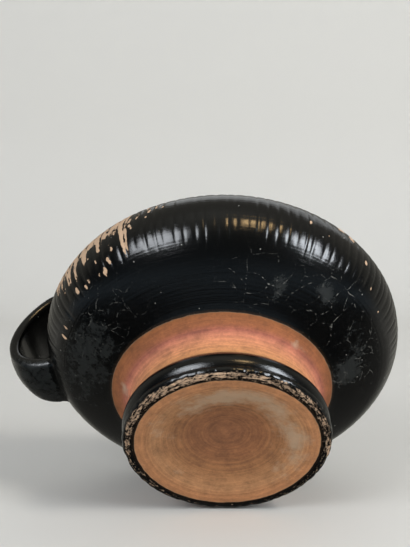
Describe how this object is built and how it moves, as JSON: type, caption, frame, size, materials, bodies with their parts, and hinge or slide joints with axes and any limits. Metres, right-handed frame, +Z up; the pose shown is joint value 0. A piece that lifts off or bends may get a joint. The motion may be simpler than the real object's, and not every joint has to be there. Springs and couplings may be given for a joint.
{
  "type": "guttus pouring vessel",
  "caption": "Squat black-gloss clay pouring vessel with a ribbed belly, turned foot, leaning trumpet spout on the shoulder and a strap loop handle a quarter turn from it.",
  "frame": {"origin": "on the ground under the middle of the vessel's bounding box", "axes": "+Z up from the foot's resting ring, handle towards -X, spout towards +Y"},
  "size_m": [0.1212, 0.1192, 0.0897],
  "materials": {
    "black_gloss_clay": "glossy black slip over fired orange clay, left bare on the stem and underside, worn on the ribs and the foot's edge"
  },
  "bodies": {
    "root": {"bowl_and_foot": "black_gloss_clay", "shoulder": "black_gloss_clay", "spout": "black_gloss_clay", "handle": "black_gloss_clay"}
  },
  "joints": []
}
